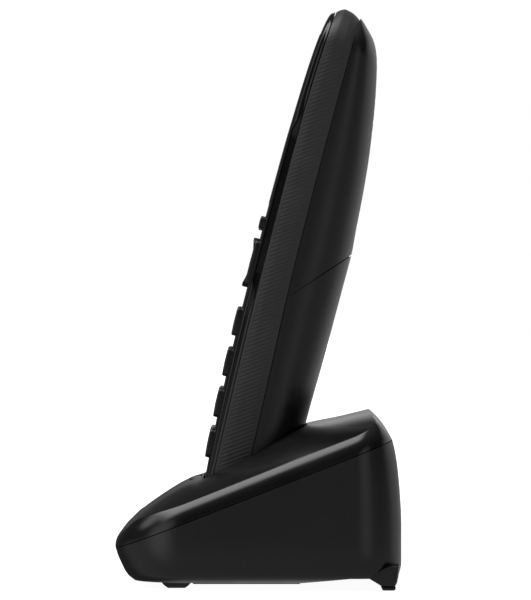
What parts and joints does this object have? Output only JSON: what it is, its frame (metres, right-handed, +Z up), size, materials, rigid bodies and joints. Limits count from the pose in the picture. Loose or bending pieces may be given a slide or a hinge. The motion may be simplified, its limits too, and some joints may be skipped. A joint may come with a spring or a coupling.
{
  "type": "cordless phone with base",
  "caption": "Slim cordless telephone handset leaning back in a low wedge-shaped charging base, all black plastic.",
  "frame": {"origin": "bottom centre of the bounding box, on the surface the base stands on", "axes": "+Z up; the keypad and display face -Y; +X is to the right as seen from the front"},
  "size_m": [0.1, 0.0899, 0.1819],
  "materials": {
    "gloss_black": "polished moulded plastic, near black",
    "satin_black": "satin moulded plastic, near black",
    "grip_black": "matte, with fine moulded diagonal ridges",
    "foot_rubber": "matte",
    "display_window": "clear hard-coated window, dark behind",
    "lcd_glass": "unlit liquid-crystal display",
    "white_plastic": "plain moulded",
    "circuit_board": "solder mask over glass fibre",
    "plated_steel": "nickel plated",
    "contact_gold": "gold plated",
    "cell_jacket": "shrink-wrapped cell jacket",
    "silicone": "matte silicone sheet"
  },
  "bodies": {
    "base": {"base_circuit_board": "circuit_board", "base_lower_case": "satin_black", "base_screw_left": "plated_steel", "base_screw_right": "plated_steel", "base_top_cover": "gloss_black", "contact_carrier": "white_plastic", "dc_jack": "satin_black", "dc_jack_pin": "plated_steel", "front_foot_left": "foot_rubber", "front_foot_right": "foot_rubber", "line_jack": "satin_black", "page_switch": "plated_steel", "rear_foot_left": "foot_rubber", "rear_foot_right": "foot_rubber"},
    "handset": {"battery_contact_left": "plated_steel", "battery_contact_right": "plated_steel", "battery_contact_top": "plated_steel", "battery_left": "cell_jacket", "battery_right": "cell_jacket", "battery_spring_left": "plated_steel", "battery_spring_right": "plated_steel", "display_lens": "display_window", "earpiece_receiver": "plated_steel", "handset_circuit_board": "circuit_board", "handset_contact_left": "contact_gold", "handset_contact_right": "contact_gold", "handset_front_shell": "gloss_black", "handset_rear_shell": "satin_black", "handset_screw_left": "plated_steel", "handset_screw_right": "plated_steel", "keypad_membrane": "silicone", "lcd_holder": "white_plastic", "lcd_module": "lcd_glass", "microphone": "plated_steel", "rf_shield": "plated_steel", "ringer_speaker": "plated_steel", "side_grip_frame": "grip_black"},
    "key_1": {"key_1": "gloss_black"},
    "key_2": {"key_2": "gloss_black"},
    "key_3": {"key_3": "gloss_black"},
    "key_4": {"key_4": "gloss_black"},
    "key_5": {"key_5": "gloss_black"},
    "key_6": {"key_6": "gloss_black"},
    "key_7": {"key_7": "gloss_black"},
    "key_8": {"key_8": "gloss_black"},
    "key_9": {"key_9": "gloss_black"},
    "key_star": {"key_star": "gloss_black"},
    "key_0": {"key_0": "gloss_black"},
    "key_hash": {"key_hash": "gloss_black"},
    "talk_key": {"talk_key": "gloss_black"},
    "end_key": {"end_key": "gloss_black"},
    "soft_key_left": {"soft_key_left": "gloss_black"},
    "soft_key_right": {"soft_key_right": "gloss_black"},
    "ok_key": {"ok_key": "gloss_black"},
    "nav_pivot": {"nav_pivot": "white_plastic"},
    "nav_key": {"nav_key": "gloss_black"},
    "battery_cover": {"battery_cover": "satin_black"},
    "page_button": {"page_button": "gloss_black"},
    "charge_contact_left": {"charge_contact_left": "contact_gold"},
    "charge_contact_right": {"charge_contact_right": "contact_gold"}
  },
  "joints": [
    {"name": "handset_lift", "type": "slide", "parent": "base", "child": "handset", "axis": [0, 0.2504, 0.9681], "range_m": [0, 0.12]},
    {"name": "key_1_press", "type": "slide", "parent": "handset", "child": "key_1", "axis": [0, 0.9717, -0.2364], "range_m": [0, 0.0007], "stiffness_N_per_m": 400},
    {"name": "key_2_press", "type": "slide", "parent": "handset", "child": "key_2", "axis": [0, 0.9717, -0.2364], "range_m": [0, 0.0007], "stiffness_N_per_m": 400},
    {"name": "key_3_press", "type": "slide", "parent": "handset", "child": "key_3", "axis": [0, 0.9717, -0.2364], "range_m": [0, 0.0007], "stiffness_N_per_m": 400},
    {"name": "key_4_press", "type": "slide", "parent": "handset", "child": "key_4", "axis": [0, 0.9748, -0.223], "range_m": [0, 0.0007], "stiffness_N_per_m": 400},
    {"name": "key_5_press", "type": "slide", "parent": "handset", "child": "key_5", "axis": [0, 0.9748, -0.223], "range_m": [0, 0.0007], "stiffness_N_per_m": 400},
    {"name": "key_6_press", "type": "slide", "parent": "handset", "child": "key_6", "axis": [0, 0.9748, -0.223], "range_m": [0, 0.0007], "stiffness_N_per_m": 400},
    {"name": "key_7_press", "type": "slide", "parent": "handset", "child": "key_7", "axis": [0, 0.9781, -0.208], "range_m": [0, 0.0007], "stiffness_N_per_m": 400},
    {"name": "key_8_press", "type": "slide", "parent": "handset", "child": "key_8", "axis": [0, 0.9781, -0.208], "range_m": [0, 0.0007], "stiffness_N_per_m": 400},
    {"name": "key_9_press", "type": "slide", "parent": "handset", "child": "key_9", "axis": [0, 0.9781, -0.208], "range_m": [0, 0.0007], "stiffness_N_per_m": 400},
    {"name": "key_star_press", "type": "slide", "parent": "handset", "child": "key_star", "axis": [0, 0.9812, -0.1932], "range_m": [0, 0.0007], "stiffness_N_per_m": 400},
    {"name": "key_0_press", "type": "slide", "parent": "handset", "child": "key_0", "axis": [0, 0.9812, -0.1932], "range_m": [0, 0.0007], "stiffness_N_per_m": 400},
    {"name": "key_hash_press", "type": "slide", "parent": "handset", "child": "key_hash", "axis": [0, 0.9812, -0.1932], "range_m": [0, 0.0007], "stiffness_N_per_m": 400},
    {"name": "talk_key_press", "type": "slide", "parent": "handset", "child": "talk_key", "axis": [0, 0.9678, -0.2517], "range_m": [0, 0.0007], "stiffness_N_per_m": 400},
    {"name": "end_key_press", "type": "slide", "parent": "handset", "child": "end_key", "axis": [0, 0.9678, -0.2517], "range_m": [0, 0.0007], "stiffness_N_per_m": 400},
    {"name": "soft_key_left_press", "type": "slide", "parent": "handset", "child": "soft_key_left", "axis": [0, 0.9675, -0.253], "range_m": [0, 0.0007], "stiffness_N_per_m": 400},
    {"name": "soft_key_right_press", "type": "slide", "parent": "handset", "child": "soft_key_right", "axis": [0, 0.9675, -0.253], "range_m": [0, 0.0007], "stiffness_N_per_m": 400},
    {"name": "ok_key_press", "type": "slide", "parent": "handset", "child": "ok_key", "axis": [0, 0.9678, -0.2517], "range_m": [0, 0.0007], "stiffness_N_per_m": 400},
    {"name": "nav_tilt_sideways", "type": "hinge", "parent": "handset", "child": "nav_pivot", "pos_m": [0, 0.0022, 0.10045], "axis": [0, 0.2517, 0.9678], "range_deg": [-2.5, 2.5], "stiffness_Nm_per_rad": 0.02},
    {"name": "nav_tilt_up_down", "type": "hinge", "parent": "nav_pivot", "child": "nav_key", "pos_m": [0, 0.0022, 0.10045], "axis": [1, 0, 0], "range_deg": [-2.5, 2.5], "stiffness_Nm_per_rad": 0.02},
    {"name": "battery_cover_slide", "type": "slide", "parent": "handset", "child": "battery_cover", "axis": [0, -0.2504, -0.9681], "range_m": [0, 0.003]},
    {"name": "page_button_press", "type": "slide", "parent": "base", "child": "page_button", "axis": [0, -0.2504, -0.9681], "range_m": [0, 0.0008], "stiffness_N_per_m": 400},
    {"name": "charge_contact_left_press", "type": "slide", "parent": "base", "child": "charge_contact_left", "axis": [0, -0.2504, -0.9681], "range_m": [0, 0.001], "stiffness_N_per_m": 300},
    {"name": "charge_contact_right_press", "type": "slide", "parent": "base", "child": "charge_contact_right", "axis": [0, -0.2504, -0.9681], "range_m": [0, 0.001], "stiffness_N_per_m": 300}
  ]
}
